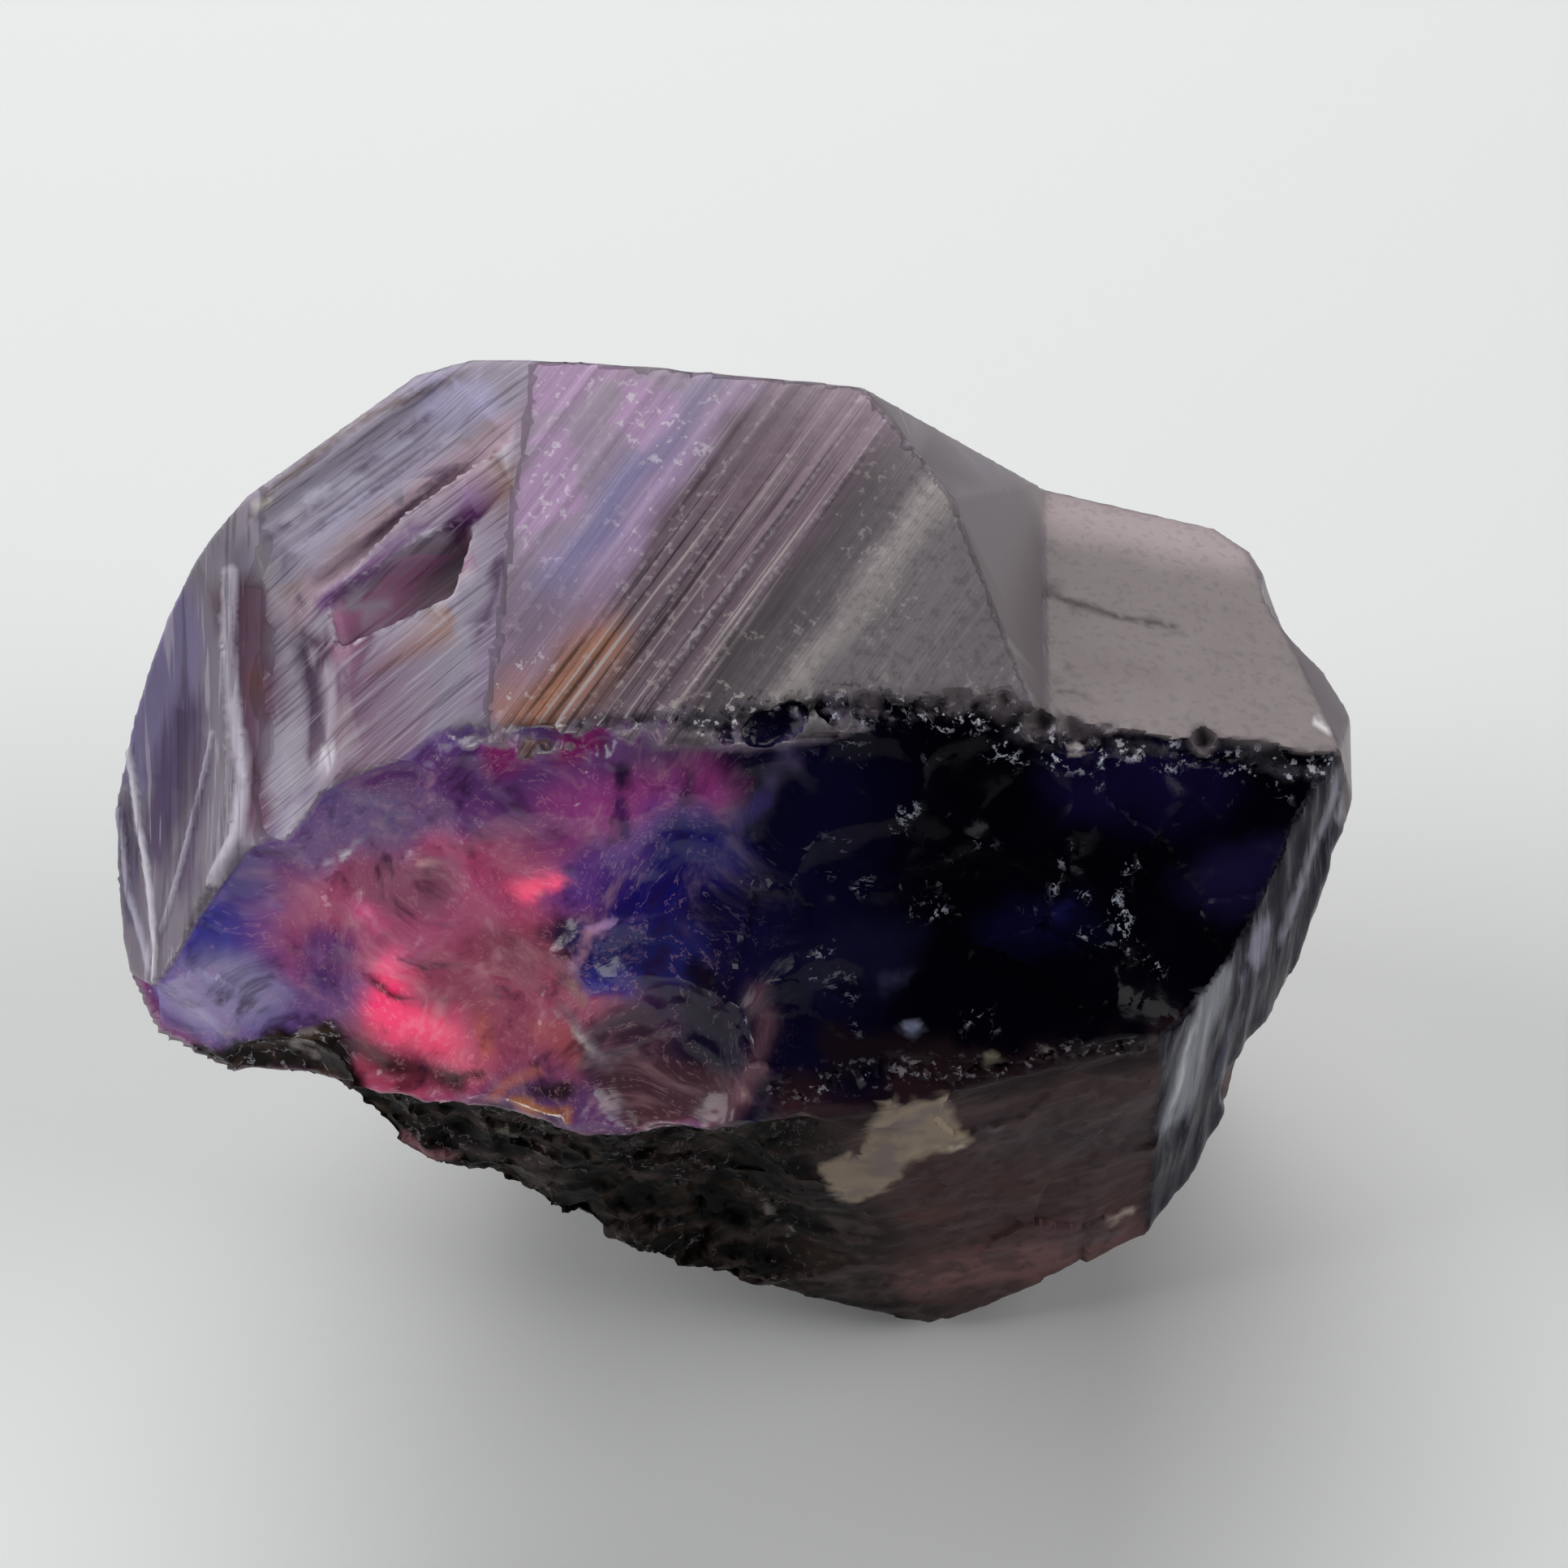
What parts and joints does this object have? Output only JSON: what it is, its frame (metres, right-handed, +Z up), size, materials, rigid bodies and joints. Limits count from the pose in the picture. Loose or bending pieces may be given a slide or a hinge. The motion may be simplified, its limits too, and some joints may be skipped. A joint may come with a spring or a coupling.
{
  "type": "rough sapphire crystal",
  "caption": "Broken piece of a natural violet-blue sapphire crystal with a striated growth face, a shell-scarred front and a small flat foot to rest on.",
  "frame": {"origin": "centre of the bounding box in plan, on the plane of the resting face", "axes": "+X along the longest side, to the right as seen from the best side; +Y towards the back; +Z up"},
  "size_m": [0.0094, 0.0062, 0.0074],
  "materials": {
    "sapphire": "vitreous broken faces, silky striated growth face"
  },
  "bodies": {
    "root": {"sapphire_crystal": "sapphire"}
  },
  "joints": []
}
